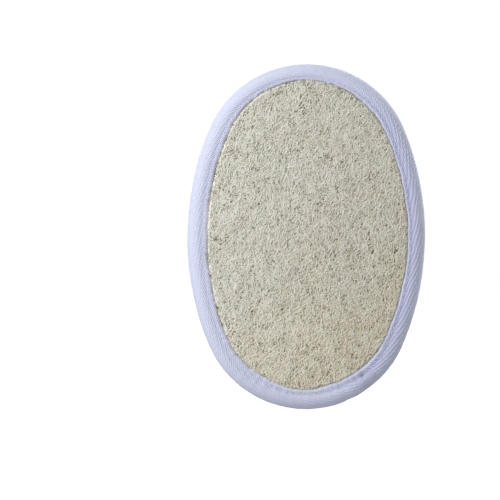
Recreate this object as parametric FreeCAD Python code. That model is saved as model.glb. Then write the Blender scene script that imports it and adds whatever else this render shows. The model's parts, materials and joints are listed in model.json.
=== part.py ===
import FreeCAD, Part
import math
import os

# Oval loofah scrubbing pad: loofah face, foam core, terry back, cotton edge binding,
# an elastic hand strap across the back and a ribbon loop to hang it by.
# Millimetres. X is the width, Z the length. The loofah face is the plane Y = 0 and looks
# along -Y; the terry back, the strap and the loop are on the +Y side.
# A depth is a distance measured inwards from the pad's outer edge.

# Outline: an oval of four tangent arcs
half_width = 62.0
half_length = 90.0
tip_radius = 55.0

# Edge binding: a cotton tape folded round the edge in a U
tape = 0.9
front_flange_y = 0.6
back_flange_y = 12.0
flange_depth = 10.0
seam_depth = 8.4
overlap_ply = 0.5
overlap_length = 8.0
overlap_bearing = 291.0

# Layers between the flanges, front to back
loofah_top_y = 5.6
foam_top_y = 9.0
loofah_proud_depth = 10.3
loofah_proud_slope = 1.3
core_depth = 14.0

# Stitching: a lockstitch seam through both flanges
stitch_pitch = 3.0
stitch_length = 2.3
thread_radius = 0.22

# Elastic hand strap: a woven band with rubber threads inside
strap_width = 30.0
strap_thickness = 1.3
strap_rise = 7.0
strap_end_x = 50.5
strap_end_y = 9.8
strap_tail_x = 57.0
rubber_radius = 0.3
rubber_count = 16
rubber_pitch = 1.8

# Hanging loop: a satin ribbon folded in two. The near ply lies on the terry, the far ply bulges.
ribbon_width = 12.5
ribbon = 0.5
loop_hinge_y = 12.4
loop_hinge_z = 77.8
loop_root_half = 0.55
near_ply_top_z = 72.8
near_ply_low_z = 61.0
loop_fold_z = 57.0
far_ply_low_z = 62.6
far_ply_low_inset = 0.4
far_ply_middle_z = 69.8
far_ply_middle_inset = 2.0
loop_bulge_y = 18.9
plies_part_y = 12.75
plies_part_z = 75.2
plies_part_half = 0.15
loop_tail_low_z = 79.0
loop_tail_top_z = 86.0

# Two thread ends at the binding's overlap
tuft_x = 18.9
tuft_z = -71.5
tuft_gap = 0.6
tuft_length = 3.4
tuft_leans = (35, 80)

gap = 0.3
X_AXIS = FreeCAD.Vector(1, 0, 0)
Y_AXIS = FreeCAD.Vector(0, 1, 0)
Z_AXIS = FreeCAD.Vector(0, 0, 1)


def point(x, y, z):
    return FreeCAD.Vector(x, y, z)


def closed_face(runs):
    """A face bounded by runs of points: two points are a line and three are an arc."""
    edges = []
    for run in runs:
        curve = Part.Arc(*run) if len(run) == 3 else Part.LineSegment(*run)
        edges.append(curve.toShape())
    return Part.Face(Part.Wire(Part.__sortEdges__(edges)))


# ---- the oval ------------------------------------------------------------------------------

tip_centre = half_length - tip_radius
side_radius = (half_width ** 2 + tip_centre ** 2 - tip_radius ** 2) / (2 * (half_width - tip_radius))
side_centre = side_radius - half_width
corner_angle = math.degrees(math.atan2(tip_centre, side_centre))

# Each arc: centre X, centre Z, radius, start and end bearing in degrees from +X towards +Z
ARCS = [
    (-side_centre, 0.0, side_radius, -corner_angle, corner_angle),
    (0.0, tip_centre, tip_radius, corner_angle, 180 - corner_angle),
    (side_centre, 0.0, side_radius, 180 - corner_angle, 180 + corner_angle),
    (0.0, -tip_centre, tip_radius, 180 + corner_angle, 360 - corner_angle),
]
BOTTOM_ARC = ARCS[3]


def arc_point(arc, depth, bearing, y):
    centre_x, centre_z, radius = arc[:3]
    turn = math.radians(bearing)
    reach = radius - depth
    return point(centre_x + reach * math.cos(turn), y, centre_z + reach * math.sin(turn))


def oval_plate(depth, y_from, y_to):
    runs = []
    for arc in ARCS:
        start, end = arc[3], arc[4]
        runs.append([arc_point(arc, depth, bearing, y_from) for bearing in (start, (start + end) / 2, end)])
    return closed_face(runs).extrude(Y_AXIS * (y_to - y_from))


def swept_sector(arc, start, end, section):
    """Turn a section about an arc's centre. The section is runs of (depth, y) pairs."""
    runs = [[arc_point(arc, depth, start, y) for depth, y in run] for run in section]
    # A right-handed turn about -Y carries +X towards +Z
    return closed_face(runs).revolve(point(arc[0], 0, arc[1]), Y_AXIS * -1, end - start)


def swept_ring(section):
    sectors = [swept_sector(arc, arc[3], arc[4], section) for arc in ARCS]
    return sectors[0].multiFuse(sectors[1:]).removeSplitter()


def seam_places(depth, pitch):
    """Points and headings evenly spaced along the oval at one depth, with each point's
    arc and bearing."""
    lengths = [(arc[2] - depth) * math.radians(arc[4] - arc[3]) for arc in ARCS]
    count = round(sum(lengths) / pitch)
    step = sum(lengths) / count
    places = []
    travelled = 0.0
    for arc, length in zip(ARCS, lengths):
        while (len(places) + 0.5) * step < travelled + length:
            along = (len(places) + 0.5) * step - travelled
            bearing = arc[3] + (arc[4] - arc[3]) * along / length
            turn = math.radians(bearing)
            heading = point(-math.sin(turn), 0, math.cos(turn))
            places.append((arc_point(arc, depth, bearing, 0), heading, arc, bearing))
        travelled += length
    return places


# ---- edge binding --------------------------------------------------------------------------

rim_radius = (back_flange_y - front_flange_y) / 2
rim_y = front_flange_y + rim_radius
inner_radius = rim_radius - tape
inner_front_y = rim_y - inner_radius
inner_back_y = rim_y + inner_radius
overlap_half_turn = math.degrees(overlap_length / tip_radius / 2)


def rim_arc(radius):
    """Half a turn round the rim's centre line, from the front to the back."""
    return [(rim_radius, rim_y - radius), (rim_radius - radius, rim_y), (rim_radius, rim_y + radius)]


def edge_binding():
    outer, inner = rim_arc(rim_radius), rim_arc(inner_radius)
    lip_front = (flange_depth, front_flange_y)
    lip_front_in = (flange_depth, inner_front_y)
    lip_back = (flange_depth, back_flange_y)
    lip_back_in = (flange_depth, inner_back_y)
    section = [
        outer,
        [outer[-1], lip_back],
        [lip_back, lip_back_in],
        [lip_back_in, inner[-1]],
        inner,
        [inner[0], lip_front_in],
        [lip_front_in, lip_front],
        [lip_front, outer[0]],
    ]
    return swept_ring(section).fuse(tape_overlap()).removeSplitter()


def tape_overlap():
    """The tape's turned-under end: one ply more from the rim to the back flange's lip."""
    half_root = math.sqrt(0.5)
    raised = rim_radius + overlap_ply
    rim = (0.0, rim_y)

    def quarter_middle(radius):
        return (rim_radius - radius * half_root, rim_y + radius * half_root)

    under = [rim, quarter_middle(rim_radius), (rim_radius, back_flange_y)]
    over = [rim, quarter_middle(raised), (rim_radius, rim_y + raised)]
    lip_low = (flange_depth, back_flange_y)
    lip_high = (flange_depth, rim_y + raised)
    section = [under, [under[-1], lip_low], [lip_low, lip_high], [lip_high, over[-1]], over]
    start = overlap_bearing - overlap_half_turn
    return swept_sector(BOTTOM_ARC, start, start + 2 * overlap_half_turn, section)


# ---- layers ----------------------------------------------------------------------------------

def filling():
    """Everything that the folded tape holds, as one rounded oval."""
    edge = rim_arc(inner_radius)
    core_front = (core_depth, inner_front_y)
    core_back = (core_depth, inner_back_y)
    section = [edge, [edge[-1], core_back], [core_back, core_front], [core_front, edge[0]]]
    core = oval_plate(core_depth, inner_front_y, inner_back_y)
    return swept_ring(section).fuse(core).removeSplitter()


def loofah_plateau():
    """The loofah inside the binding, standing proud of it with a sloped edge."""
    foot = (loofah_proud_depth, inner_front_y)
    brow = (loofah_proud_depth + loofah_proud_slope, 0.0)
    core_brow = (core_depth, 0.0)
    core_foot = (core_depth, inner_front_y)
    section = [[foot, brow], [brow, core_brow], [core_brow, core_foot], [core_foot, foot]]
    core = oval_plate(core_depth, 0.0, inner_front_y)
    return swept_ring(section).fuse(core).removeSplitter()


def layer(filled, y_from, y_to):
    """The slice of the filling between two planes."""
    reach = 2 * half_length
    slab = Part.makeBox(2 * reach, y_to - y_from, 2 * reach, point(-reach, y_from, -reach))
    return filled.common(slab)


# ---- hand strap --------------------------------------------------------------------------------

# The band's underside is one arc, from strap_end_y at its ends to strap_rise above that
strap_radius = (strap_end_x ** 2 + strap_rise ** 2) / (2 * strap_rise)
strap_centre_y = strap_end_y + strap_rise - strap_radius
strap_half_turn = math.degrees(math.asin(strap_end_x / strap_radius))
strap_tail_from_x = strap_end_x * (1 + strap_thickness / strap_radius) + gap


def strap_point(radius, turn, z):
    return point(radius * math.sin(turn), strap_centre_y + radius * math.cos(turn), z)


def strap_arch(spare):
    """The band, or with something to spare the room that it needs in the terry."""
    turn = math.radians(strap_half_turn) + spare / strap_radius
    half = strap_width / 2 + spare
    under = [strap_point(strap_radius - spare, a, -half) for a in (-turn, 0, turn)]
    over = [strap_point(strap_radius + strap_thickness + spare, a, -half) for a in (-turn, 0, turn)]
    face = closed_face([under, [under[-1], over[-1]], over, [over[0], under[0]]])
    return face.extrude(Z_AXIS * (2 * half))


def rubber_threads():
    """Round threads along the middle of the band's thickness, side by side across it."""
    threads = []
    turn = math.radians(strap_half_turn)
    heading = point(math.cos(turn), math.sin(turn), 0)
    for i in range(rubber_count):
        z = (i - (rubber_count - 1) / 2) * rubber_pitch
        start = strap_point(strap_radius + strap_thickness / 2, -turn, z)
        circle = Part.Circle(start, heading, rubber_radius)
        face = Part.Face(Part.Wire(circle.toShape()))
        threads.append(face.revolve(point(0, strap_centre_y, 0), Z_AXIS * -1, 2 * strap_half_turn))
    return threads


def strap_tail(side):
    """One end of the band, flat between the terry and the binding: side is -1 or 1."""
    length = strap_tail_x - strap_tail_from_x
    low_x = strap_tail_from_x if side > 0 else -strap_tail_x
    corner = point(low_x, inner_back_y - strap_thickness, -strap_width / 2)
    return Part.makeBox(length, strap_thickness, strap_width, corner)


# ---- hanging loop --------------------------------------------------------------------------------

def teardrop(inset, apex_y, apex_z, apex_half):
    """The loop's outline seen along X, drawn in by the inset, with its apex at the hinge."""
    near_y = inner_back_y + gap + inset
    far_y = loop_bulge_y - inset
    near_top = point(0, near_y, near_ply_top_z)
    near_low = point(0, near_y, near_ply_low_z)
    fold = point(0, (near_y + far_y) / 2, loop_fold_z + inset)
    far_low = point(0, far_y - far_ply_low_inset, far_ply_low_z)
    far_middle = point(0, far_y - far_ply_middle_inset, far_ply_middle_z)
    near_apex = point(0, apex_y - apex_half, apex_z)
    tip = point(0, apex_y, apex_z + apex_half)
    far_apex = point(0, apex_y + apex_half, apex_z)
    return closed_face([
        [near_apex, near_top],
        [near_top, near_low],
        [near_low, fold, far_low],
        [far_low, far_middle, far_apex],
        [far_apex, tip, near_apex],
    ])


def hanging_loop():
    outer = teardrop(0.0, loop_hinge_y, loop_hinge_z, loop_root_half)
    hollow = teardrop(ribbon, plies_part_y, plies_part_z, plies_part_half)
    solid = outer.cut(hollow).extrude(X_AXIS * ribbon_width)
    solid.translate(X_AXIS * (-ribbon_width / 2))
    return solid


def loop_tail():
    """Both ends of the ribbon, flat between the terry and the binding."""
    corner = point(-ribbon_width / 2, inner_back_y - 2 * ribbon, loop_tail_low_z)
    return Part.makeBox(ribbon_width, 2 * ribbon, loop_tail_top_z - loop_tail_low_z, corner)


# ---- thread --------------------------------------------------------------------------------------

def stitches(surface_y, outwards, overlap_rise):
    """Thread rods lying on a flange, and higher where they cross the tape's overlap."""
    rods = []
    reach = math.degrees((overlap_length + stitch_length) / 2 / (tip_radius - seam_depth))
    for place, heading, arc, bearing in seam_places(seam_depth, stitch_pitch):
        crosses = arc is BOTTOM_ARC and abs(bearing - overlap_bearing) < reach
        rise = thread_radius + (overlap_rise if crosses else 0.0)
        start = place - heading * (stitch_length / 2)
        start.y = surface_y + outwards * rise
        rods.append(Part.makeCylinder(thread_radius, stitch_length, start, heading))
    return rods


def thread_tails():
    """Cut thread ends lying on the terry beside the binding's overlap."""
    rods = []
    for lean in tuft_leans:
        turn = math.radians(lean)
        heading = point(math.cos(turn), 0.0, math.sin(turn))
        start = point(tuft_x, inner_back_y + thread_radius, tuft_z) + heading * tuft_gap
        rods.append(Part.makeCylinder(thread_radius, tuft_length, start, heading))
    return rods


# ---- assembly ------------------------------------------------------------------------------------

def build():
    filled = filling()
    strap_tail_left = strap_tail(-1).common(filled)
    strap_tail_right = strap_tail(1).common(filled)
    ribbon_ends = loop_tail().common(filled)
    rubber = Part.makeCompound(rubber_threads())

    terry = layer(filled, foam_top_y, back_flange_y)
    for buried in (strap_tail_left, strap_tail_right, ribbon_ends, strap_arch(gap)):
        terry = terry.cut(buried)

    nodes = {
        "loofah_layer": layer(filled, 0.0, loofah_top_y).fuse(loofah_plateau()).removeSplitter(),
        "foam_core": layer(filled, loofah_top_y, foam_top_y),
        "terry_back": terry,
        "edge_binding": edge_binding(),
        "needle_thread": Part.makeCompound(stitches(front_flange_y, -1, 0.0)),
        "bobbin_thread": Part.makeCompound(stitches(back_flange_y, 1, overlap_ply)),
        "thread_tails": Part.makeCompound(thread_tails()),
        "hand_strap": strap_arch(0.0).cut(rubber),
        "rubber_threads": rubber,
        "strap_tail_left": strap_tail_left,
        "strap_tail_right": strap_tail_right,
        "hanging_loop": hanging_loop(),
        "loop_tail": ribbon_ends,
    }
    os.makedirs("parts", exist_ok=True)
    for name, shape in nodes.items():
        shape.exportStep(f"parts/{name}.step")
        print(f"{name:18s} solids {len(shape.Solids):3d} valid {shape.isValid()} volume {shape.Volume:9.1f}")


build()
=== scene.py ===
import json
import math

import bpy
import numpy as np
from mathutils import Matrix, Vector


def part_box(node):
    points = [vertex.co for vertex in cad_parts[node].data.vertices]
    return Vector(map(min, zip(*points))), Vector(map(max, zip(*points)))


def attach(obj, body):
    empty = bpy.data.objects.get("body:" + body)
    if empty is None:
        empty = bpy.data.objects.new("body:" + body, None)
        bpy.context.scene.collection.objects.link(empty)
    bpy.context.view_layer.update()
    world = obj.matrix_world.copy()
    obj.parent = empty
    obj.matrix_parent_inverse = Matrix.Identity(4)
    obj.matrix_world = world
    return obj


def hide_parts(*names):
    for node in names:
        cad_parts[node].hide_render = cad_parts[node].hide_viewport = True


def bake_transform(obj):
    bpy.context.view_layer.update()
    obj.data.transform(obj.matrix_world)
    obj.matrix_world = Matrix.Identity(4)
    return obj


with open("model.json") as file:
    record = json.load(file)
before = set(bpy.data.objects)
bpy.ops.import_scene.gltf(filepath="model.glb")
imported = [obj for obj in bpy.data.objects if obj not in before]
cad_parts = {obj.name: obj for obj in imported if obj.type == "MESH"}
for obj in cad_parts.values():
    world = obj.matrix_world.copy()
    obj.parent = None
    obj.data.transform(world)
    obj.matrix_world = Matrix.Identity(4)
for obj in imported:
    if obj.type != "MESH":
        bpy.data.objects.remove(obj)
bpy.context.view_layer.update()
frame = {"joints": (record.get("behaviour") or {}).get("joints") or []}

# The looks of an oval loofah pad: taped edge, terry back, elastic hand strap and ribbon loop.
# Lengths are millimetres, and make_mesh turns them into metres. Only the lamps are placed in
# metres. A depth is measured inwards from the pad's outer edge, as in the CAD model, s is a
# length along the seam, and v a length across the tape from its front lip.

MM = 0.001


def node_box(name):
    """A CAD node's low and high corners in millimetres."""
    low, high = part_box(name)
    return np.array(low) / MM, np.array(high) / MM


# ---- sizes, from the frame -----------------------------------------------------------------------

HALF_WIDTH, _, HALF_LENGTH = (float(v) for v in node_box("edge_binding")[1])
# Halfway through the rim's thickness, between the tape's front and its back
RIM_Y = 6.3
TIP_RADIUS = 55.0
SEAM_DEPTH = 8.4
STITCH_PITCH = 3.0
TERRY_Y = float(node_box("terry_back")[1][1])
OVERLAP_BEARING = 291.0
OVERLAP_LENGTH = 8.0

_, STRAP_TOP_Y, STRAP_HALF_WIDTH = (float(v) for v in node_box("hand_strap")[1])
RIBBON_HALF_WIDTH = float(node_box("hanging_loop")[1][0])
LOOP_JOINT = next(j for j in frame["joints"] if j["name"] == "loop_swing")
LOOP_Y, LOOP_Z = (float(v) / MM for v in LOOP_JOINT["pos_m"][1:])


# ---- the oval: four tangent arcs -----------------------------------------------------------------

TIP_CENTRE = HALF_LENGTH - TIP_RADIUS
SIDE_RADIUS = (HALF_WIDTH ** 2 + TIP_CENTRE ** 2 - TIP_RADIUS ** 2) / (2 * (HALF_WIDTH - TIP_RADIUS))
SIDE_CENTRE = SIDE_RADIUS - HALF_WIDTH
CORNER = math.atan2(TIP_CENTRE, SIDE_CENTRE)

# centre X, centre Z, radius, start and end bearing from +X towards +Z
ARCS = np.array([
    (0.0, -TIP_CENTRE, TIP_RADIUS, math.pi + CORNER, 2 * math.pi - CORNER),
    (-SIDE_CENTRE, 0.0, SIDE_RADIUS, -CORNER, CORNER),
    (0.0, TIP_CENTRE, TIP_RADIUS, CORNER, math.pi - CORNER),
    (SIDE_CENTRE, 0.0, SIDE_RADIUS, math.pi - CORNER, math.pi + CORNER),
])
ARC_LENGTHS = (ARCS[:, 2] - SEAM_DEPTH) * (ARCS[:, 4] - ARCS[:, 3])
ARC_STARTS = np.concatenate([[0.0], np.cumsum(ARC_LENGTHS)])
SEAM_LENGTH = float(ARC_STARTS[-1])
JOINT_S = (math.radians(OVERLAP_BEARING) - ARCS[0, 3]) * (TIP_RADIUS - SEAM_DEPTH)


def along_oval(s, depth):
    """X, Z and the outward direction at lengths s along the seam line, at some depth."""
    s = np.mod(np.asarray(s, float), SEAM_LENGTH)
    arc = np.clip(np.searchsorted(ARC_STARTS, s, side="right") - 1, 0, 3)
    centre_x, centre_z, radius, start, end = np.moveaxis(ARCS[arc], -1, 0)
    bearing = start + (end - start) * (s - ARC_STARTS[arc]) / ARC_LENGTHS[arc]
    out_x, out_z = np.cos(bearing), np.sin(bearing)
    reach = radius - depth
    return centre_x + reach * out_x, centre_z + reach * out_z, out_x, out_z


def depth_at(x, z):
    """How far inside the oval's edge points are, and the outward direction there."""
    side_x = np.abs(x) + SIDE_CENTRE
    tip_z = np.abs(z) - TIP_CENTRE
    on_side = np.arctan2(np.abs(z), side_x) < CORNER
    side_reach = np.hypot(side_x, z)
    tip_reach = np.hypot(x, tip_z) + 1e-9
    depth = np.where(on_side, SIDE_RADIUS - side_reach, TIP_RADIUS - tip_reach)
    out_x = np.where(on_side, side_x * np.sign(x) / side_reach, x / tip_reach)
    out_z = np.where(on_side, z / side_reach, tip_z * np.sign(z) / tip_reach)
    return depth, out_x, out_z


# ---- numbers: noise, splines and strokes ---------------------------------------------------------

def smooth_step(low, high, value):
    """0 at low and beyond, 1 at high and beyond, and smooth between. low may be the larger."""
    t = np.clip((value - low) / (high - low), 0, 1)
    return t * t * (3 - 2 * t)


def bell(value, centre, width):
    """1 at the centre, falling off smoothly on both sides."""
    return np.exp(-((value - centre) / width) ** 2)


def noise(x, y, cell_x, cell_y, seed):
    """Smooth noise from -1 to 1 on cells of the given size."""
    size = 256
    table = np.random.default_rng(seed).uniform(-1, 1, (size, size))
    u, v = x / cell_x, y / cell_y
    i, j = np.floor(u).astype(int), np.floor(v).astype(int)
    a, b = u - i, v - j
    a, b = a * a * (3 - 2 * a), b * b * (3 - 2 * b)
    i0, i1 = i % size, (i + 1) % size
    j0, j1 = j % size, (j + 1) % size
    low = table[i0, j0] * (1 - a) + table[i1, j0] * a
    high = table[i0, j1] * (1 - a) + table[i1, j1] * a
    return low * (1 - b) + high * b


def spline(points, count):
    """Points evenly spaced along a smooth curve through 2-D points, and the curve's length."""
    p = np.array(points, float)
    p = np.concatenate([2 * p[:1] - p[1:2], p, 2 * p[-1:] - p[-2:-1]])
    fine = []
    for a, b, c, d in zip(p[:-3], p[1:-2], p[2:-1], p[3:]):
        t = np.linspace(0, 1, 40, endpoint=False)[:, None]
        fine.append(0.5 * (2 * b + (c - a) * t + (2 * a - 5 * b + 4 * c - d) * t ** 2
                           + (3 * b - a - 3 * c + d) * t ** 3))
    fine = np.concatenate(fine + [p[-2:-1]])
    lengths = np.concatenate([[0], np.cumsum(np.linalg.norm(np.diff(fine, axis=0), axis=1))])
    where = np.linspace(0, lengths[-1], count)
    return np.stack([np.interp(where, lengths, fine[:, k]) for k in range(2)], 1), lengths[-1]


class StrokeMap:
    """Thousands of thin curved strands laid over each other on a flat patch: for any point,
    how high the topmost strand is and which shade it has."""

    def __init__(self, half_x, half_z, cell):
        self.cell = cell
        self.low = np.array([-half_x, -half_z])
        self.shape = (int(2 * half_x / cell) + 2, int(2 * half_z / cell) + 2)
        self.height = np.zeros(self.shape)
        self.shade = np.full(self.shape, 0.5)

    def lay(self, count, length, bend, radius, lift, heading_spread, heading_mean, steps, seed):
        """Lay count strands. length, radius and lift are ranges, and headings are from +X."""
        draw = np.random.default_rng(seed)
        half = -self.low
        start = draw.uniform(-1, 1, (count, 2)) * half
        heading = heading_mean + draw.normal(0, heading_spread, count)
        curl = draw.normal(0, bend, count)
        wave = draw.uniform(0, 2 * math.pi, count)
        long = draw.uniform(length[0], length[1], count)
        wide = draw.uniform(radius[0], radius[1], count)
        base = draw.uniform(lift[0], lift[1], count)
        shade = draw.uniform(0, 1, count)
        t = np.linspace(-0.5, 0.5, steps)
        turn = heading[:, None] + curl[:, None] * t + 0.35 * np.sin(5 * t[None] + wave[:, None])
        stride = long[:, None] / (steps - 1)
        path = np.stack([np.cumsum(np.cos(turn) * stride, 1), np.cumsum(np.sin(turn) * stride, 1)], 2)
        path += start[:, None]
        rise = base[:, None] + 0.25 * wide[:, None] * (1 - 4 * t[None] ** 2)
        cells, heights, shades = [], [], []
        reach = int(math.ceil(radius[1] / self.cell))
        for di in range(-reach, reach + 1):
            for dj in range(-reach, reach + 1):
                grid = np.round((path - self.low) / self.cell).astype(int) + (di, dj)
                off = grid * self.cell + self.low - path
                inside = wide[:, None] ** 2 - (off ** 2).sum(2)
                good = (inside > 0) & (grid >= 0).all(2) & (grid < self.shape).all(2)
                cells.append((grid[..., 0] * self.shape[1] + grid[..., 1])[good])
                heights.append((rise + np.sqrt(np.maximum(inside, 0)))[good])
                shades.append(np.broadcast_to(shade[:, None], inside.shape)[good])
        cells, heights, shades = map(np.concatenate, (cells, heights, shades))
        order = np.argsort(heights, kind="stable")
        flat_height, flat_shade = np.zeros(self.height.size), np.full(self.height.size, 0.5)
        flat_height[cells[order]] = heights[order]
        flat_shade[cells[order]] = shades[order]
        higher = flat_height.reshape(self.shape) > self.height
        self.height = np.where(higher, flat_height.reshape(self.shape), self.height)
        self.shade = np.where(higher, flat_shade.reshape(self.shape), self.shade)

    def read(self, x, z):
        """The height and the shade at points, between the cells."""
        u = (x - self.low[0]) / self.cell
        v = (z - self.low[1]) / self.cell
        i = np.clip(np.floor(u).astype(int), 0, self.shape[0] - 2)
        j = np.clip(np.floor(v).astype(int), 0, self.shape[1] - 2)
        a, b = np.clip(u - i, 0, 1), np.clip(v - j, 0, 1)

        def blended(table):
            return ((table[i, j] * (1 - a) + table[i + 1, j] * a) * (1 - b)
                    + (table[i, j + 1] * (1 - a) + table[i + 1, j + 1] * a) * b)
        return blended(self.height), blended(self.shade)


# ---- meshes --------------------------------------------------------------------------------------

def turned_outwards(points, face_sets):
    """The same faces, all turned round if their corners run so that they enclose a negative volume."""
    volume = 0.0
    for faces in face_sets:
        first = points[faces[:, 0]]
        for k in range(1, faces.shape[1] - 1):
            volume += np.sum(first * np.cross(points[faces[:, k]], points[faces[:, k + 1]]))
    return face_sets if volume > 0 else [faces[:, ::-1] for faces in face_sets]


def make_mesh(name, points, face_sets, material, attributes=None):
    """An object from points in millimetres and arrays of faces, each with one corner count."""
    face_sets = turned_outwards(points, face_sets)
    mesh = bpy.data.meshes.new(name)
    counts = np.concatenate([np.full(len(faces), faces.shape[1]) for faces in face_sets])
    starts = np.concatenate([[0], np.cumsum(counts)[:-1]])
    corners = np.concatenate([faces.ravel() for faces in face_sets])
    mesh.vertices.add(len(points))
    mesh.vertices.foreach_set("co", (np.asarray(points) * MM).astype(np.float32).ravel())
    mesh.loops.add(len(corners))
    mesh.loops.foreach_set("vertex_index", corners.astype(np.int32))
    mesh.polygons.add(len(counts))
    mesh.polygons.foreach_set("loop_start", starts.astype(np.int32))
    mesh.polygons.foreach_set("loop_total", counts.astype(np.int32))
    mesh.update(calc_edges=True)
    mesh.validate()
    mesh.shade_smooth()
    for key, values in (attributes or {}).items():
        values = np.asarray(values, np.float32)
        if values.ndim == 2:
            mesh.attributes.new(key, "FLOAT_VECTOR", "POINT").data.foreach_set("vector", values.ravel())
        else:
            mesh.attributes.new(key, "FLOAT", "POINT").data.foreach_set("value", values)
    mesh.materials.append(material)
    piece = bpy.data.objects.new(name, mesh)
    bpy.context.scene.collection.objects.link(piece)
    return piece


def grid_faces(rows, columns, wrap_columns=False):
    """Quads between the rows of a grid of points, joined into a tube if its columns wrap."""
    shown_columns = columns if wrap_columns else columns - 1
    i, j = np.meshgrid(np.arange(rows - 1), np.arange(shown_columns), indexing="ij")
    here, there = i * columns, (i + 1) * columns
    j2 = (j + 1) % columns
    return np.stack([here + j, there + j, there + j2, here + j2], -1).reshape(-1, 4)


def tubes(paths, radii, sides):
    """Tubes with narrow ends along many paths of the same number of points."""
    count, steps = paths.shape[:2]
    along = np.gradient(paths, axis=1)
    along /= np.linalg.norm(along, axis=2, keepdims=True) + 1e-9
    up = np.array([0.0, 1.0, 0.0])
    across = np.cross(along, up)
    across /= np.linalg.norm(across, axis=2, keepdims=True) + 1e-9
    over = np.cross(across, along)
    a = np.arange(sides) * 2 * math.pi / sides
    ring = across[:, :, None] * np.cos(a)[:, None] + over[:, :, None] * np.sin(a)[:, None]
    taper = np.full(steps, 1.0)
    taper[[0, -1]] = 0.35
    points = paths[:, :, None] + ring * (radii[:, None, None, None] * taper[None, :, None, None])
    quads = grid_faces(steps, sides, wrap_columns=True)
    faces = (quads[None] + (np.arange(count) * steps * sides)[:, None, None]).reshape(-1, 4)
    return points.reshape(-1, 3), faces


HIDDEN_VALUE = 0.4


def patch(name, material, surface, depth_edge, spacing, back_y):
    """A closed slab filling the oval to one depth. surface(x, z, depth) gives the shown face's Y
    and its attributes. The other face is flat, hidden inside the pad, with one value for all."""
    columns = int(2 * (HALF_WIDTH - depth_edge) / spacing) + 3
    rows = int(2 * (HALF_LENGTH - depth_edge) / spacing) + 3
    x, z = np.meshgrid((np.arange(columns) - (columns - 1) / 2) * spacing,
                       (np.arange(rows) - (rows - 1) / 2) * spacing, indexing="ij")
    x, z = x.ravel(), z.ravel()
    faces = grid_faces(columns, rows)
    middle_depth = depth_at(x[faces].mean(1), z[faces].mean(1))[0]
    faces = faces[middle_depth > depth_edge]
    used, faces = np.unique(faces, return_inverse=True)
    faces = faces.reshape(-1, 4)
    x, z = x[used], z[used]
    depth, out_x, out_z = depth_at(x, z)
    edges = np.sort(np.concatenate([faces[:, [k, (k + 1) % 4]] for k in range(4)]), axis=1)
    pairs, uses = np.unique(edges, axis=0, return_counts=True)
    rim = np.unique(pairs[uses == 1])
    x[rim] += out_x[rim] * (depth[rim] - depth_edge)
    z[rim] += out_z[rim] * (depth[rim] - depth_edge)
    depth[rim] = depth_edge
    y, attributes = surface(x, z, depth)
    front = np.stack([x, y, z], 1)
    border = rim[np.argsort(np.arctan2(z[rim], x[rim]))]
    count, around = len(x), len(border)
    back = np.stack([x[border], np.full(around, back_y), z[border]], 1)
    centre = np.array([[0.0, back_y, 0.0]])
    here, there = np.arange(around), (np.arange(around) + 1) % around
    walls = np.stack([border[there], border[here], count + here, count + there], 1)
    cover = np.stack([count + there, count + here, np.full(around, count + around)], 1)
    hidden = np.full(around + 1, HIDDEN_VALUE)
    whole = {key: np.concatenate([value, hidden]) for key, value in attributes.items()}
    return make_mesh(name, np.concatenate([front, back, centre]), [faces, walls, cover], material, whole)


# ---- materials -----------------------------------------------------------------------------------

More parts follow.
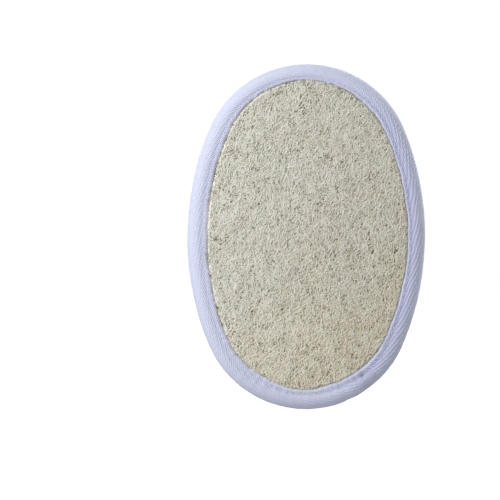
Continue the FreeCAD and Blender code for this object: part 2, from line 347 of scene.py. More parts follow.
class Look:
    """A Principled material, and the few kinds of node that its textures are made of."""

    def __init__(self, name, roughness, sheen=0.0):
        self.material = bpy.data.materials.new(name)
        self.material.use_nodes = True
        self.nodes = self.material.node_tree.nodes
        self.links = self.material.node_tree.links
        self.put("Roughness", roughness)
        self.put("Specular IOR Level", 0.25)
        self.put("Sheen Weight", sheen)
        self.put("Sheen Roughness", 0.5)

    def put(self, name, value):
        """Give one of the shader's inputs a value, or another node's output."""
        socket = self.nodes["Principled BSDF"].inputs[name]
        if isinstance(value, bpy.types.NodeSocket):
            self.links.new(value, socket)
        else:
            socket.default_value = value

    def place(self):
        """Places in the frame, in metres."""
        return self.nodes.new("ShaderNodeTexCoord").outputs["Object"]

    def stored(self, name, output="Fac"):
        """A number, or with "Vector" three of them, stored on the mesh's points."""
        node = self.nodes.new("ShaderNodeAttribute")
        node.attribute_name = name
        return node.outputs[output]

    def noise(self, scale):
        """Soft noise round 0.5, with this many lumps to a metre."""
        node = self.nodes.new("ShaderNodeTexNoise")
        node.inputs["Scale"].default_value = scale
        node.inputs["Detail"].default_value = 3.0
        node.inputs["Roughness"].default_value = 0.55
        self.links.new(self.place(), node.inputs["Vector"])
        return node.outputs["Fac"]

    def ramp(self, value, *stops):
        """The colour for a value, between stops that are each (value, colour)."""
        node = self.nodes.new("ShaderNodeValToRGB")
        elements = node.color_ramp.elements
        while len(elements) < len(stops):
            elements.new(0.5)
        for element, (position, colour) in zip(elements, stops):
            element.position = position
            element.color = (*colour, 1.0)
        self.links.new(value, node.inputs["Fac"])
        return node.outputs["Color"]

    def times(self, first, second, factor=1.0):
        """The first colour multiplied by the second, as far as the factor says."""
        node = self.nodes.new("ShaderNodeMix")
        node.data_type = "RGBA"
        node.blend_type = "MULTIPLY"
        node.inputs[0].default_value = factor
        self.links.new(first, node.inputs[6])
        self.links.new(second, node.inputs[7])
        return node.outputs[2]

    def bands(self, pitch, distortion, degrees=0.0):
        """Bands across a tape, from the (along, across) millimetres stored on it. They stand
        square to its length, or are turned. One band is 2 pi / 20 units wide at scale 1."""
        turned = self.nodes.new("ShaderNodeMapping")
        turned.inputs["Rotation"].default_value = (0, 0, math.radians(degrees))
        self.links.new(self.stored("tape", "Vector"), turned.inputs["Vector"])
        node = self.nodes.new("ShaderNodeTexWave")
        node.inputs["Scale"].default_value = 2 * math.pi / 20 / pitch
        node.inputs["Distortion"].default_value = distortion
        node.inputs["Detail Scale"].default_value = 1.5
        self.links.new(turned.outputs["Vector"], node.inputs["Vector"])
        return node.outputs["Fac"]

    def bump(self, height, strength, distance, under=None):
        """A normal bent by a height of up to this many millimetres, on top of another bump."""
        node = self.nodes.new("ShaderNodeBump")
        node.inputs["Strength"].default_value = strength
        node.inputs["Distance"].default_value = distance * MM
        self.links.new(height, node.inputs["Height"])
        if under is not None:
            self.links.new(under, node.inputs["Normal"])
        return node.outputs["Normal"]


def loofah_look():
    """Dry fibre: its colour by height, as painted shade where the fibres lie low, by strand, patch and place,
    with painted shade towards its right, and a grain too fine to model.
    """
    look = Look("loofah_fibre", 0.85)
    painted_shade_by_height = look.ramp(look.stored("relief"), (0.0, (0.30, 0.26, 0.16)), (0.25, (0.55, 0.52, 0.41)),
                          (0.5, (0.78, 0.76, 0.67)), (0.8, (0.95, 0.94, 0.87)), (1.0, (1.0, 0.99, 0.94)))
    by_strand = look.ramp(look.stored("shade"), (0.0, (0.80, 0.74, 0.62)), (0.25, (0.93, 0.91, 0.86)),
                          (0.7, (1.0, 1.0, 0.98)), (1.0, (0.92, 0.94, 0.87)))
    patches = look.ramp(look.noise(170.0), (0.33, (0.96, 0.985, 0.93)), (0.5, (1.0, 1.0, 1.0)),
                        (0.67, (1.0, 0.965, 0.95)))
    warm = look.ramp(look.stored("warm"), (0.0, (0.985, 0.99, 1.0)), (1.0, (1.0, 0.965, 0.90)))
    speckle = look.ramp(look.noise(1500.0), (0.34, (0.84, 0.82, 0.77)), (0.50, (1.0, 1.0, 1.0)))
    # Painted shade: the mat darker towards its right, away from the key light
    painted_side_shade = look.ramp(look.stored("painted_side_shade"), (0.0, (1.0, 1.0, 1.0)), (1.0, (0.86, 0.85, 0.83)))
    colour = look.times(painted_shade_by_height, by_strand, 0.85)
    for tint in (patches, warm, speckle, painted_side_shade):
        colour = look.times(colour, tint)
    look.put("Base Color", colour)
    grain = look.noise(2600.0)
    look.put("Roughness", look.ramp(grain, (0.3, (0.7, 0.7, 0.7)), (0.7, (0.95, 0.95, 0.95))))
    look.put("Normal", look.bump(grain, 0.7, 0.16))
    return look.material


def strand_look():
    """One pale colour for the loose fibres, which are too thin to show a texture."""
    look = Look("loofah_strand", 0.6)
    look.put("Base Color", (0.86, 0.84, 0.76, 1.0))
    return look.material


def woven_look(name, colour, shade_colour, roughness, sheen, weave):
    """Woven goods, coloured by the painted light and shade stored on the mesh, from shade_colour in painted
    shade to a painted highlight on the crests. The weave is the pitch, distortion and turn of its bands, and
    their height.
    """
    look = Look(name, roughness, sheen)
    painted_highlight_colour = tuple(min(1.0, c * 1.06) for c in colour)
    # Painted light and shade, from the stored light value
    tone = look.ramp(look.stored("relief"), (0.0, shade_colour), (0.55, colour), (1.0, painted_highlight_colour))
    mottle = look.ramp(look.noise(420.0), (0.3, (0.95, 0.94, 0.96)), (0.5, (1.0, 1.0, 0.99)),
                       (0.7, (0.96, 0.99, 1.0)))
    speckle = look.ramp(look.noise(1300.0), (0.36, (0.90, 0.905, 0.925)), (0.5, (0.98, 0.98, 0.985)),
                        (0.64, (1.0, 1.0, 1.0)))
    look.put("Base Color", look.times(look.times(tone, mottle), speckle, 0.8))
    fuzz = look.bump(look.noise(3200.0), 0.35, 0.10)
    pitch, distortion, degrees, height = weave
    look.put("Normal", look.bump(look.bands(pitch, distortion, degrees), 0.8, height, fuzz))
    return look.material


def terry_look():
    """Cotton loops, with painted shade, darker and bluer, down between them."""
    look = Look("terry_pile", 0.95, 0.35)
    painted_shade_by_height = look.ramp(look.stored("relief"), (0.0, (0.62, 0.65, 0.86)), (0.35, (0.76, 0.79, 0.98)),
                          (0.8, (0.84, 0.865, 1.0)), (1.0, (0.87, 0.89, 1.0)))
    by_loop = look.ramp(look.stored("shade"), (0.0, (0.90, 0.91, 0.94)), (1.0, (1.0, 1.0, 1.0)))
    patches = look.ramp(look.noise(120.0), (0.35, (0.96, 0.965, 0.98)), (0.65, (1.0, 1.0, 1.0)))
    look.put("Base Color", look.times(look.times(painted_shade_by_height, by_loop), patches))
    look.put("Normal", look.bump(look.noise(3000.0), 0.5, 0.14))
    return look.material


def foam_look():
    """Sponge with cells about a millimetre wide."""
    look = Look("sponge", 0.95)
    cells = look.nodes.new("ShaderNodeTexVoronoi")
    cells.inputs["Scale"].default_value = 900.0
    look.links.new(look.place(), cells.inputs["Vector"])
    hollow = cells.outputs["Distance"]
    # Painted shade: darker down in the cells' hollows
    look.put("Base Color", look.ramp(hollow, (0.0, (0.45, 0.43, 0.36)), (0.4, (0.84, 0.82, 0.74))))
    look.put("Normal", look.bump(hollow, 0.8, 0.4))
    return look.material


def thread_look():
    """White sewing thread, a little bluish."""
    look = Look("sewing_thread", 0.6, 0.2)
    tone = look.ramp(look.noise(1500.0), (0.35, (0.80, 0.82, 0.94)), (0.65, (0.88, 0.90, 0.98)))
    look.put("Base Color", tone)
    return look.material


binding_cloth = woven_look("binding_twill", (0.76, 0.79, 1.0), (0.50, 0.52, 0.76), 0.9, 0.08,
                           weave=(1.0, 0.6, 50, 0.14))
elastic_cloth = woven_look("elastic_weave", (0.72, 0.75, 0.86), (0.50, 0.53, 0.64), 0.8, 0.2,
                           weave=(0.55, 0.3, 0, 0.08))
ribbon_cloth = woven_look("ribbon_satin", (0.86, 0.92, 1.0), (0.72, 0.78, 0.98), 0.42, 0.1,
                          weave=(0.5, 0.3, 0, 0.05))
loofah_cloth = loofah_look()
strand_cloth = strand_look()
terry_cloth = terry_look()
foam_cloth = foam_look()
thread_cloth = thread_look()


# ---- camera --------------------------------------------------------------------------------------

LENS = 90.0
SENSOR = 36.0
# how many millimetres the picture shows across, at the rim's depth
SHOWN_WIDTH = 261.0
PAD_RIGHT_OF_CENTRE = 29.3
PAD_ABOVE_CENTRE = 7.1
CAMERA_ROLL = -0.45
camera_data = bpy.data.cameras.new("camera")
camera_data.lens = LENS
camera_data.sensor_width = SENSOR
camera = bpy.data.objects.new("camera", camera_data)
bpy.context.scene.collection.objects.link(camera)
camera_distance = SHOWN_WIDTH * LENS / SENSOR
camera.location = np.array([-PAD_RIGHT_OF_CENTRE, RIM_Y - camera_distance, -PAD_ABOVE_CENTRE]) * MM
camera.rotation_euler = (math.radians(90), math.radians(CAMERA_ROLL), 0)
bpy.context.scene.camera = camera


# ---- edge binding --------------------------------------------------------------------------------

# The tape's outer side as (depth, y), from under the front lip round the rim to the back lip
TAPE_OUTSIDE = [
    (10.4, 1.75), (10.6, 1.1), (10.2, 0.45), (9.4, 0.15), (8.8, 0.24), (8.2, 0.38), (7.5, 0.28), (6.4, 0.06),
    (5.0, 0.15), (3.0, 1.0), (1.2, 2.9), (0.25, 5.1), (0.1, 6.9), (0.7, 9.0), (2.3, 11.0), (4.2, 12.05),
    (6.0, 12.25), (7.4, 11.75), (8.4, 10.75), (9.0, 10.95), (9.8, 11.4), (10.5, 11.25), (10.7, 10.8),
]
# Its inner side, back the other way
TAPE_INSIDE = [
    (10.7, 10.7), (8.6, 10.3), (5.7, 10.9), (2.6, 9.6), (1.3, 6.3), (2.6, 3.0), (5.7, 1.7), (8.6, 1.6),
    (10.4, 1.85),
]
SECTION_STEP = 0.27
ALONG_STEP = 0.42
RIDGE_PITCH = 1.75
RIDGE_LEAN = 0.26
# The two seam grooves lie this far in from the tape's edges
GROOVE_V = 3.2
# How far the front lip reaches in from the outer edge, by bearing: narrow at the top, widest at
# the lower right where the tape was gathered round the tight end
LIP_DEPTHS = [(0, 9.7), (35, 10.4), (60, 9.7), (90, 8.9), (120, 9.4), (165, 10.3), (210, 10.7), (245, 11.7),
              (270, 10.8), (285, 12.1), (302, 12.1), (320, 11.4), (345, 10.4), (360, 9.7)]
# Where the tape is gathered, its twill fans out across the edge: bearing, rise and reach along s
GATHERS = [(math.radians(309), 13.0, 6.0), (math.radians(262), 3.0, 5.0)]


def lip_depth(out_x, out_z):
    """How deep the front lip reaches in a direction."""
    return np.interp(np.degrees(np.arctan2(out_z, out_x)) % 360, *zip(*LIP_DEPTHS))


def seam_place(bearing):
    """The length along the seam of a bearing on the bottom arc."""
    return (bearing - ARCS[0, 3]) * (TIP_RADIUS - SEAM_DEPTH)


def from_seam_place(s, place):
    """Signed length along the seam from a place, the short way round."""
    return np.mod(s - place + SEAM_LENGTH / 2, SEAM_LENGTH) - SEAM_LENGTH / 2


def twill_ridges(s, v):
    """Cord-like twill ridges that lean across the tape, from 0 in a valley to 1 on a crest, and
    the beads that the threads make along the crests."""
    slid = RIDGE_LEAN * s
    for bearing, rise, reach in GATHERS:
        slid = slid + rise * smooth_step(-reach, reach, from_seam_place(s, seam_place(bearing)))
    warp = 1.1 * noise(s, v, 17.0, 8.0, 5) + 0.25 * noise(s, v, 5.0, 3.0, 6)
    phase = (v - slid + warp) / RIDGE_PITCH
    crest = (1 - np.abs(np.sin(math.pi * phase))) ** 1.15
    beads = 0.5 + 0.5 * np.cos(2 * math.pi * (s / 1.5 + 0.37 * np.floor(phase + 0.5)))
    return crest, crest * beads


def tape_relief(s, v, width, x, z):
    """How far the tape stands off its smooth section, and the painted light and shade of its colour there."""
    # 1 towards these sides of the pad, as the photograph shows it
    right = smooth_step(12, 52, x)
    left = smooth_step(15, 55, -x)
    low = smooth_step(45, 80, -z)
    high = smooth_step(50, 85, z)
    back_v = width - v
    inner = np.minimum(v, back_v)
    # 1 between the lips, and 1 on the front half
    body = smooth_step(2.6, 4.6, inner)
    front = smooth_step(0.62, 0.42, v / width)
    ridge, beads = twill_ridges(s, v)
    from_gather = from_seam_place(s, seam_place(GATHERS[0][0]))
    strength = 0.07 + (0.15 * right * (1 - 0.4 * high) + 0.05 * left + 0.06 * low * (1 - right)) * front
    strength = strength + 0.16 * bell(from_gather, 0, 9.0) * front
    dimple = bell(from_gather, 0, 1.3) * bell(v, 4.2, 1.0)
    sewn = 0.5 - 0.5 * np.cos(2 * math.pi * s / STITCH_PITCH + math.pi)

    relief = strength * (ridge - 0.35) * body + 0.05 * beads * body
    pucker = noise(s, v, 2.3, 9.0, 7) + 0.6 * noise(s, v, 1.2, 6.0, 8)
    lips = 1 - smooth_step(3.0, 8.0, inner)
    relief += (0.04 + 0.10 * low) * pucker * (0.3 + 0.7 * lips) * smooth_step(0, 2, inner)
    relief += (0.14 + 0.14 * low * right) * noise(s, v, 17.0, 12.0, 9) * body
    relief += 0.18 * left * bell(v, GROOVE_V, 1.3)
    relief -= 0.7 * dimple
    relief -= 0.10 * bell(back_v, GROOVE_V, 0.5) * sewn
    relief -= 0.05 * bell(v, 3.1, 0.6) * sewn
    relief -= 0.06 * bell(back_v, 1.8, 0.6) * sewn
    over_ribbon = smooth_step(RIBBON_HALF_WIDTH + 1.5, RIBBON_HALF_WIDTH - 0.5, np.abs(x)) * (z > 0)
    over_strap = smooth_step(STRAP_HALF_WIDTH + 1.5, STRAP_HALF_WIDTH - 0.5, np.abs(z))
    relief += 0.35 * (over_ribbon + over_strap) * bell(back_v, 1.2, 1.3)

    # light is painted light and shade: darker on the pad's right, painted highlights on ridge crests, beads
    # and lips, painted shade in the seam grooves, in the dimple and on the right side's inner slope, lighter
    # on the right's outer front
    light = 0.62 - 0.10 * right + 1.5 * (strength + 0.05) * (ridge - 0.3) * body + 0.12 * beads * body
    light -= 0.30 * (1 - 0.7 * left) * bell(v, GROOVE_V, 0.9) + 0.40 * bell(back_v, GROOVE_V, 0.8)
    light += 0.28 * bell(v, 1.6, 0.8) + 0.2 * bell(back_v, 1.6, 0.8) * (1 - 0.5 * sewn)
    light -= 0.30 * right * bell(v, 4.3, 1.9)
    light += 0.16 * right * smooth_step(7, 10.5, v) * front
    light -= 0.5 * dimple
    return relief, light


outside, TAPE_WIDTH = spline(TAPE_OUTSIDE, int(spline(TAPE_OUTSIDE, 99)[1] / SECTION_STEP))
inside, _ = spline(TAPE_INSIDE, 22)
tape_section = np.concatenate([outside, inside])
OUTER_COUNT = len(outside)
section_slope = np.gradient(tape_section, axis=0)
section_slope /= np.linalg.norm(section_slope, axis=1, keepdims=True)
FAR_END = SEAM_LENGTH + OVERLAP_LENGTH


def tape_overlap(travelled, v):
    """How far the tape stands off where its two ends lie on each other, and how shaded it is.
    On the front the far end lies flush and the near one is sunk under it. On the back it shows
    as a folded edge."""
    at_back = smooth_step(15, 20, v)
    lap = smooth_step(SEAM_LENGTH - 4.5, SEAM_LENGTH - 0.5, travelled)
    fold = smooth_step(FAR_END - 1.1, FAR_END, travelled) ** 1.5
    soft_fold = smooth_step(FAR_END - 4.0, FAR_END, travelled)
    under = smooth_step(OVERLAP_LENGTH + 2.5, OVERLAP_LENGTH - 2.5, travelled)
    rise = 0.6 * lap * at_back - 0.45 * soft_fold * (1 - at_back) - 0.85 * fold * at_back
    rise -= 0.30 * under * (1 - at_back) + 0.35 * smooth_step(2.5, 0.0, travelled) * at_back
    # Painted shadow beside the folded edge, and painted shade on the fold
    beside_fold = bell(travelled, OVERLAP_LENGTH + 0.3, 0.5) * at_back
    return rise * smooth_step(0.5, 3, v), 0.5 * beside_fold + 0.25 * fold * at_back


def tape_points(travelled, v, place, lift=0.0):
    """Points on the tape. travelled runs along it, v across it, and place counts the section's
    own points, from the front lip to the back lip and back inside."""
    s = JOINT_S - OVERLAP_LENGTH / 2 + travelled
    x, z, out_x, out_z = along_oval(s, 0.0)
    relief, light = tape_relief(s, v, TAPE_WIDTH, x, z)
    rise, shade = tape_overlap(travelled, v)
    index = np.arange(len(tape_section))
    section_depth, section_y = (np.interp(place, index, tape_section[:, k]) for k in range(2))
    along_depth, along_y = (np.interp(place, index, section_slope[:, k]) for k in range(2))
    standing = relief * (place < OUTER_COUNT) + rise + lift
    depth = section_depth - along_y * standing
    y = section_y + along_depth * standing
    reach = lip_depth(out_x, out_z) - TAPE_OUTSIDE[1][0]
    reach += 0.30 * noise(s, 0 * s, 6.0, 1.0, 12) + 0.30 * noise(s, 0 * s, 2.0, 1.0, 13)
    reach += 0.16 * noise(s, 0 * s, 0.9, 1.0, 14)
    depth = depth + reach * (1 - smooth_step(0.5, 6.0, v))
    return np.stack([x - out_x * depth, y, z - out_z * depth], -1), light - shade


def make_binding():
    """The tape: its section swept round the oval and on past its start, with closed ends."""
    rows, columns = int(FAR_END / ALONG_STEP), len(tape_section)
    across = np.concatenate([np.linspace(0, TAPE_WIDTH, OUTER_COUNT),
                             np.linspace(TAPE_WIDTH, 0, len(inside))])
    travelled, v = np.meshgrid(np.linspace(0, FAR_END, rows), across, indexing="ij")
    place = np.broadcast_to(np.arange(columns), (rows, columns))
    points, light = tape_points(travelled, v, place)
    faces = grid_faces(rows, columns, wrap_columns=True)
    ends = [strip_cap(0, columns, OUTER_COUNT, True),
            strip_cap((rows - 1) * columns, columns, OUTER_COUNT, False)]
    tape = np.stack([travelled, v, 0 * v], -1)
    # The stored relief here is the tape's painted light and shade
    return make_mesh("binding_tape", points.reshape(-1, 3), [faces, *ends], binding_cloth,
                     {"tape": tape.reshape(-1, 3), "relief": np.clip(light, 0, 1).ravel()})


def strip_cap(first, columns, outer_count, flip):
    """Quads across the tape's thickness at one end, joining its outer and inner lines."""
    inner_count = columns - outer_count
    steps = np.arange(outer_count)
    outer = first + steps
    inner = first + columns - 1 - np.round(steps * (inner_count - 1) / (outer_count - 1)).astype(int)
    quads = np.stack([outer[:-1], outer[1:], inner[1:], inner[:-1]], 1)
    return quads[:, ::-1] if flip else quads


binding = make_binding()
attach(binding, "pad")
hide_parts("edge_binding")


# ---- loofah face ---------------------------------------------------------------------------------

loofah_map = StrokeMap(HALF_WIDTH - 6, HALF_LENGTH - 6, 0.14)
loofah_map.lay(count=25000, length=(3.0, 7.0), bend=1.5, radius=(0.14, 0.24), lift=(0.0, 0.30),
               heading_mean=math.pi / 2, heading_spread=1.2, steps=30, seed=21)
loofah_map.lay(count=16000, length=(2.0, 5.5), bend=1.2, radius=(0.12, 0.21), lift=(0.34, 0.56),
               heading_mean=1.35, heading_spread=0.8, steps=28, seed=22)
# About how high the topmost fibres stand
LOOFAH_RELIEF = 0.84


def loofah_surface(x, z, depth):
    """The mat's scrubbing face: laid fibres over soft lumps, with pits, going under the tape's lip."""
    height, shade = loofah_map.read(x, z)
    lumps = 0.20 * noise(x, z, 9.0, 12.0, 31) + 0.12 * noise(x, z, 3.5, 4.5, 32)
    pits = smooth_step(0.60, 0.9, noise(x, z, 1.2, 1.7, 33)) * smooth_step(-0.3, 0.5, noise(x, z, 11, 14, 34))
    _, out_x, out_z = depth_at(x, z)
    lip = lip_depth(out_x, out_z)
    # At the lower right the mat stays closer under the lip
    pressed = smooth_step(-0.2, 0.7, 0.75 * out_x - 0.65 * out_z)
    tuck = smooth_step(1.3 - 0.7 * pressed, -0.8 - 0.5 * pressed, depth - lip)
    gaps = smooth_step(-0.1, 0.6, noise(x, z, 1.6, 1.6, 35))
    # Painted shadow in the gap beside the lip, where the mat goes under it
    beside = (1 - 0.7 * pressed) * bell(depth - lip, 0.6, 0.7) * gaps
    y = 0.48 + lumps + 1.55 * tuck - 1.15 * height * (1 - 0.5 * tuck) + 0.5 * pits * (1 - tuck)
    # relief: lighter where the fibres stand high, painted shade low down, in the pits, in the hollows between
    # lumps and beside the lip
    relief = 1.25 * height / LOOFAH_RELIEF - 0.10 - 0.40 * pits - 0.12 * lumps - 0.45 * beside
    warm = smooth_step(20, -70, z + 22 * noise(x, z, 30, 30, 36) - 0.4 * x)
    # Painted shade across the mat, rising towards its right side
    painted_side_shade = smooth_step(-60, 60, x + 6 * noise(x, z, 25, 25, 37))
    return y, {"relief": np.clip(relief, 0, 1), "shade": shade, "warm": warm, "painted_side_shade": painted_side_shade}


loofah = patch("loofah_mat", loofah_cloth, loofah_surface, depth_edge=6.8, spacing=0.20, back_y=5.5)
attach(loofah, "pad")
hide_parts("loofah_layer")


def make_loose_fibres():
    """Thin strands lying loosely on the mat."""
    count = 3600
    draw = np.random.default_rng(24)
    t = np.linspace(-0.5, 0.5, 12)
    start_x = draw.uniform(-1, 1, count) * HALF_WIDTH
    start_z = draw.uniform(-1, 1, count) * HALF_LENGTH
    long = draw.uniform(1.5, 4.5, count)
    heading = draw.normal(1.4, 0.75, count)
    curl = draw.normal(0, 1.4, count)
    turn = heading[:, None] + curl[:, None] * t[None]
    x = start_x[:, None] + np.cumsum(np.cos(turn) * long[:, None] / len(t), 1)
    z = start_z[:, None] + np.cumsum(np.sin(turn) * long[:, None] / len(t), 1)
    depth, out_x, out_z = depth_at(x, z)
    inside_lip = (depth > lip_depth(out_x, out_z) + 0.3).all(1)
    x, z, depth = x[inside_lip], z[inside_lip], depth[inside_lip]
    y, _ = loofah_surface(x, z, depth)
    level = y.mean(1, keepdims=True)
    y = level + 0.65 * (y - level) - 0.05
    y -= 0.07 * draw.uniform(0, 1, (len(x), 1)) * np.cos(math.pi * t)[None]
    points, faces = tubes(np.stack([x, y, z], -1), draw.uniform(0.06, 0.11, len(x)), 5)
    piece = make_mesh("loofah_strands", points, [faces], strand_cloth)
    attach(piece, "pad")


make_loose_fibres()


# ---- terry back ----------------------------------------------------------------------------------

terry_map = StrokeMap(HALF_WIDTH - 6, HALF_LENGTH - 6, 0.15)
terry_map.lay(count=120000, length=(0.10, 0.40), bend=2.0, radius=(0.16, 0.25), lift=(0.0, 0.34),
              heading_mean=0.0, heading_spread=3.0, steps=4, seed=23)


def terry_surface(x, z, depth):
    """The cloth's pile, swelling a little towards the pad's middle and going under the tape."""
    height, shade = terry_map.read(x, z)
    crown = 0.5 * smooth_step(10, 26, depth) + 0.12 * noise(x, z, 14.0, 17.0, 41)
    tuck = smooth_step(11.6, 9.6, depth)
    y = TERRY_Y - 0.2 + crown - 0.9 * tuck + 0.5 * height * (1 - 0.6 * tuck)
    # relief: lighter on the loops' tops, painted shade down between them
    relief = np.clip((height - 0.08) / 0.48, 0, 1)
    return y, {"relief": relief, "shade": shade}


terry = patch("terry_cloth", terry_cloth, terry_surface, depth_edge=7.0, spacing=0.23, back_y=9.2)
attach(terry, "pad")
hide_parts("terry_back")


# ---- foam core -----------------------------------------------------------------------------------

def foam_surface(x, z, depth):
    """The sponge's loofah side, nearly flat and thinner towards its edge."""
    y = 5.7 + 0.5 * smooth_step(8, 4, depth) + 0.04 * noise(x, z, 12.0, 12.0, 51)
    return y, {"relief": 0.5 + 0 * x}


foam = patch("foam_sheet", foam_cloth, foam_surface, depth_edge=4.0, spacing=1.6, back_y=8.9)
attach(foam, "pad")
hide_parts("foam_core")


# ---- hand strap ----------------------------------------------------------------------------------

STRAP_BAND = 1.3
# (x, y) of the band's middle
STRAP_LINE = [(52.5, 10.2), (51.9, 10.25), (51.2, 10.4), (50.0, 10.75), (48.0, 11.35), (42.0, 12.72),
              (34.0, 14.35), (24.0, 15.9), (12.0, 17.05), (0.0, STRAP_TOP_Y - STRAP_BAND / 2)]
RIB_COUNT = 16
# Rows of points to the middle, and past it
STRAP_STEPS = 110
STRAP_EXTRA = 4


def band_cap(first, columns, flip):
    """Quads that close a flat band's end, whose ring runs along one face and back along the other."""
    half = columns // 2
    upper = first + np.arange(half)
    lower = first + columns - 1 - np.arange(half)
    quads = np.stack([upper[:-1], upper[1:], lower[1:], lower[:-1]], 1)
    return quads[:, ::-1] if flip else quads


def line_normals(line):
    """The two parts of the unit normals of a line of 2-D points."""
    slope = np.gradient(line, axis=0)
    slope /= np.linalg.norm(slope, axis=1, keepdims=True)
    return slope[:, 1], -slope[:, 0]


def rounded_edge(across, start):
    """How thick a band is there, from 1 inside to nearly nothing at its edges."""
    return np.sqrt(np.clip(1 - ((np.abs(across) - start) / (1 - start)).clip(0, 1) ** 2, 0.05, 1))


def make_band(name, shells, along, across, tone, cloth):
    """A flat band's closed mesh from the points of its two sides, in rows along it. along and across are
    their places on the goods, and tone is how light each point of a row is painted, darker by painted shade
    between ribs."""
    points = np.concatenate([shells[0], shells[1][:, ::-1]], 1)
    rows, columns = points.shape[:2]
    quads = [grid_faces(rows, columns, wrap_columns=True), band_cap(0, columns, True),
             band_cap((rows - 1) * columns, columns, False)]
    tones = np.broadcast_to(np.concatenate([tone, tone[::-1]]), (rows, columns))
    tape = np.stack([np.concatenate([along, along], 1), np.concatenate([across, across[:, ::-1]], 1),
                     np.zeros((rows, columns))], -1)
    return make_mesh(name, points.reshape(-1, 3), [np.concatenate(quads)], cloth,
                     {"tape": tape.reshape(-1, 3), "relief": tones.ravel()})


def make_strap(side, name):
    """Half of the elastic band, from under the binding to the middle. side is -1 or 1.
    Its last rows go on past the middle, sinking into the other half."""
    mirrored = [(-x, y) for x, y in STRAP_LINE[-2::-1]]
    line, whole_length = spline(STRAP_LINE + mirrored, 2 * STRAP_STEPS - 1)
    length = whole_length / 2
    row = np.arange(STRAP_STEPS + STRAP_EXTRA)
    normal_x, normal_y = (normal[row] for normal in line_normals(line))
    line = line[row]
    sink = 0.3 * (np.clip(row - STRAP_STEPS + 1, 0, None) / STRAP_EXTRA) ** 2
    across = np.linspace(-1, 1, 121)
    ribs = np.abs(np.sin(math.pi * RIB_COUNT * (across + 1) / 2)) ** 0.45
    selvedge = smooth_step(0.955, 0.985, np.abs(across))
    top = STRAP_BAND / 2 + 0.13 * ribs * (1 - selvedge) + 0.15 * selvedge
    edge = rounded_edge(across, 0.97)
    s, w = np.meshgrid(row * length / (STRAP_STEPS - 1), across * STRAP_HALF_WIDTH, indexing="ij")
    from_middle = (length - s) * side
    off_middle = smooth_step(0, 6, np.abs(from_middle))
    sway = 0.25 * noise(from_middle, w, 17.0, 30.0, 61) + 0.06 * noise(from_middle, w, 2.5, 6.0, 62)
    sway *= off_middle
    edge_sway = 0.18 * noise(from_middle, 0 * s + 3, 9.0, 1.0, 63) * off_middle
    cup = -0.5 * (np.abs(across) ** 3)[None] * smooth_step(0, 20, s)
    shells = []
    for face in (1, -1):
        off = face * np.maximum((top * edge)[None] - sink[:, None], 0.02) + sway + cup
        x = line[:, 0][:, None] + normal_x[:, None] * off
        y = line[:, 1][:, None] + normal_y[:, None] * off
        z = w * (1 - 0.1 * sink[:, None]) + edge_sway
        shells.append(np.stack([x * side, y, z], -1))
    # Painted shade between the ribs, lighter on the rib crests and the selvedges
    tone = np.clip(0.30 + 0.45 * ribs + 0.25 * selvedge, 0, 1)
    piece = make_band(name, shells, from_middle, w, tone, elastic_cloth)
    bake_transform(piece)
    return piece


strap_left = make_strap(-1, "elastic_strap_left")
strap_right = make_strap(1, "elastic_strap_right")
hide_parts("hand_strap", "rubber_threads", "strap_tail_left")
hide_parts("hand_strap", "rubber_threads", "strap_tail_right")


# ---- hanging loop --------------------------------------------------------------------------------

RIBBON = 0.45
# (y, z) of the ribbon's middle: out of the seam, down the near ply, round the fold and up the far ply
RIBBON_LINE = [
    (10.2, 80.3), (10.3, 79.8), (10.55, 79.2), (LOOP_Y - 0.65, LOOP_Z), (11.95, 76.0), (12.0, 74.0),
    (11.8, 69.0), (11.85, 62.5), (12.6, 59.3), (14.6, 57.7), (16.9, 58.9), (18.2, 62.6), (17.9, 67.5),
    (16.3, 72.2), (14.4, 75.6), (LOOP_Y + 0.45, LOOP_Z - 0.2), (11.3, 79.1), (10.95, 79.8), (10.8, 80.3),
]


def make_ribbon():
    """The loop, one length of satin ribbon folded in two, with both its ends in the seam."""
    line, length = spline(RIBBON_LINE, 260)
    normal_y, normal_z = line_normals(line)
    across = np.linspace(-1, 1, 61)
    selvedge = smooth_step(0.86, 0.93, np.abs(across))
    ribs = 0.5 + 0.5 * np.cos(2 * math.pi * across * RIBBON_HALF_WIDTH / 0.85)
    thick = RIBBON / 2 + 0.07 * selvedge + 0.03 * ribs * (1 - selvedge)
    edge = rounded_edge(across, 0.96)
    s, w = np.meshgrid(np.linspace(0, length, len(line)), across * RIBBON_HALF_WIDTH, indexing="ij")
    soft = 0.10 * noise(s, w, 7.0, 5.0, 71) + 0.25 * (across ** 2)[None] * np.sin(math.pi * s / length)
    shells = []
    for face in (1, -1):
        off = (thick * edge * face)[None] + soft * smooth_step(0, 10, s) * smooth_step(0, 10, length - s)
        y = line[:, 0][:, None] + normal_y[:, None] * off
        z = line[:, 1][:, None] + normal_z[:, None] * off
        shells.append(np.stack([w, y, z], -1))
    # Painted shade between the ribs, lighter on the selvedges
    tone = np.clip(0.50 + 0.45 * selvedge + 0.08 * ribs, 0, 1)
    piece = make_band("ribbon_loop", shells, s, w, tone, ribbon_cloth)
    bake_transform(piece)
    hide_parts("hanging_loop", "loop_tail")


make_ribbon()


# ---- stitches and thread ends --------------------------------------------------------------------

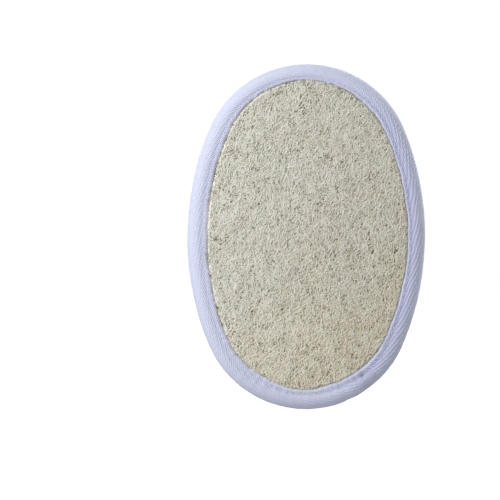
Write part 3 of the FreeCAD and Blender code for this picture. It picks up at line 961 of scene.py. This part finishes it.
def stitch_row(name, node, place):
    """One lockstitch row: each stitch rises out of the seam's groove and dives back into it."""
    count = round(SEAM_LENGTH / STITCH_PITCH)
    t = np.linspace(-0.5, 0.5, 9)
    travelled = OVERLAP_LENGTH + (np.arange(count)[:, None] + 0.5 + 0.80 * t[None]) * SEAM_LENGTH / count
    place = place + np.random.default_rng(81).normal(0, 0.25, (count, 1)) * 2 * t[None]
    v = place * TAPE_WIDTH / (OUTER_COUNT - 1)
    arch = 0.20 * (1 - (2 * t) ** 4) - 0.12
    paths, _ = tape_points(travelled, v, place, np.broadcast_to(arch, travelled.shape))
    points, faces = tubes(paths, np.full(count, 0.15), 6)
    piece = make_mesh(name, points, [faces], thread_cloth)
    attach(piece, "pad")
    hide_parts(node)


def groove_place(front):
    """Where the section crosses the seam line, on its front or its back."""
    miss = np.abs(outside[:, 0] - SEAM_DEPTH) + 100 * ((outside[:, 1] < RIM_Y) != front)
    return float(np.argmin(miss))


stitch_row("needle_stitches", "needle_thread", groove_place(True))
stitch_row("bobbin_stitches", "bobbin_thread", groove_place(False))


def make_tuft():
    """The two cut thread ends at the tape's overlap, with their frayed plies."""
    low, high = node_box("thread_tails")
    draw = np.random.default_rng(91)
    t = np.linspace(0, 1, 10)
    fringe = 34
    heading = np.radians(np.concatenate([[58, 100], draw.uniform(35, 125, fringe)]))
    reach = np.concatenate([[4.2, 3.2], draw.uniform(1.2, 3.0, fringe)])
    start = np.concatenate([[0, 0], draw.uniform(0.3, 2.0, fringe)])
    curl = np.concatenate([[-1.1, 0.9], draw.normal(0, 1.5, fringe)])
    radius = np.concatenate([[0.24, 0.22], draw.uniform(0.045, 0.10, fringe)])
    turn = heading[:, None] + curl[:, None] * t[None]
    lean = np.where(np.arange(len(start)) % 2 == 0, math.radians(58), math.radians(100))
    root_x = low[0] + 0.3 + np.cos(lean) * start
    root_z = low[2] - 3.9 + np.sin(lean) * start
    x = root_x[:, None] + np.cumsum(np.cos(turn) * reach[:, None] / len(t), 1)
    z = root_z[:, None] + np.cumsum(np.sin(turn) * reach[:, None] / len(t), 1)
    rise = np.concatenate([[0.5, 0.35], draw.uniform(0.2, 1.0, fringe)])
    y = high[1] + 0.25 + rise[:, None] * np.sin(0.8 * math.pi * t[None])
    points, faces = tubes(np.stack([x, y, z], -1), radius, 6)
    piece = make_mesh("thread_ends", points, [faces], thread_cloth)
    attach(piece, "pad")
    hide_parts("thread_tails")


make_tuft()


# ---- floor, light and background -----------------------------------------------------------------

FLOOR_REACH = 3000
FLOOR_GAP = 1.5
KEY_SIZE = 0.55
KEY_POWER = 4.1
WORLD_LIGHT = 0.47
WORLD_SWING = 0.40


def make_floor():
    """A pale floor a little below the pad. The camera sees it, but it throws no light on the pad."""
    corners = np.array([(-1, -1), (1, -1), (1, 1), (-1, 1)]) * FLOOR_REACH
    points = np.column_stack([corners, np.full(4, -HALF_LENGTH - FLOOR_GAP)])
    look = Look("pale_floor", 0.9)
    look.put("Base Color", (0.9, 0.9, 0.9, 1.0))
    look.put("Emission Color", (1.0, 1.0, 1.0, 1.0))
    look.put("Emission Strength", 0.6)
    floor = make_mesh("floor", points, [np.array([[0, 1, 2, 3]])], look.material)
    floor.visible_diffuse = False
    floor.visible_glossy = False


def key_light(name, place):
    """A round lamp at a place in metres, shining on the origin."""
    data = bpy.data.lights.new(name, "AREA")
    data.shape = "DISK"
    data.size = KEY_SIZE
    data.energy = KEY_POWER
    lamp = bpy.data.objects.new(name, data)
    bpy.context.scene.collection.objects.link(lamp)
    lamp.location = place
    x, y, z = place
    lamp.rotation_euler = (math.acos(z / math.hypot(x, y, z)), 0, math.atan2(-y, -x) - math.pi / 2)


def make_world():
    """White behind the object. The even light on it is dimmer, and stronger from the front left
    and from the back right, so that either face is lit from its own left."""
    world = bpy.data.worlds.new("studio")
    bpy.context.scene.world = world
    world.use_nodes = True
    nodes, links = world.node_tree.nodes, world.node_tree.links
    direction = nodes.new("ShaderNodeSeparateXYZ")
    links.new(nodes.new("ShaderNodeTexCoord").outputs["Generated"], direction.inputs[0])
    product = nodes.new("ShaderNodeMath")
    product.operation = "MULTIPLY"
    links.new(direction.outputs["X"], product.inputs[0])
    links.new(direction.outputs["Y"], product.inputs[1])
    strength = nodes.new("ShaderNodeMath")
    strength.operation = "MULTIPLY_ADD"
    links.new(product.outputs[0], strength.inputs[0])
    strength.inputs[1].default_value = WORLD_SWING
    strength.inputs[2].default_value = WORLD_LIGHT
    light = nodes["Background"]
    light.inputs["Color"].default_value = (0.98, 0.99, 1.0, 1.0)
    links.new(strength.outputs[0], light.inputs["Strength"])
    backdrop = nodes.new("ShaderNodeBackground")
    backdrop.inputs["Color"].default_value = (1.0, 1.0, 1.0, 1.0)
    seen = nodes.new("ShaderNodeLightPath").outputs["Is Camera Ray"]
    both = nodes.new("ShaderNodeMixShader")
    links.new(seen, both.inputs[0])
    links.new(light.outputs[0], both.inputs[1])
    links.new(backdrop.outputs[0], both.inputs[2])
    links.new(both.outputs[0], nodes["World Output"].inputs["Surface"])


make_floor()
make_world()
key_light("key_front_left", (-0.60, -0.46, 0.36))
key_light("key_back_left", (0.60, 0.46, 0.36))
bpy.context.scene.view_settings.view_transform = "Standard"
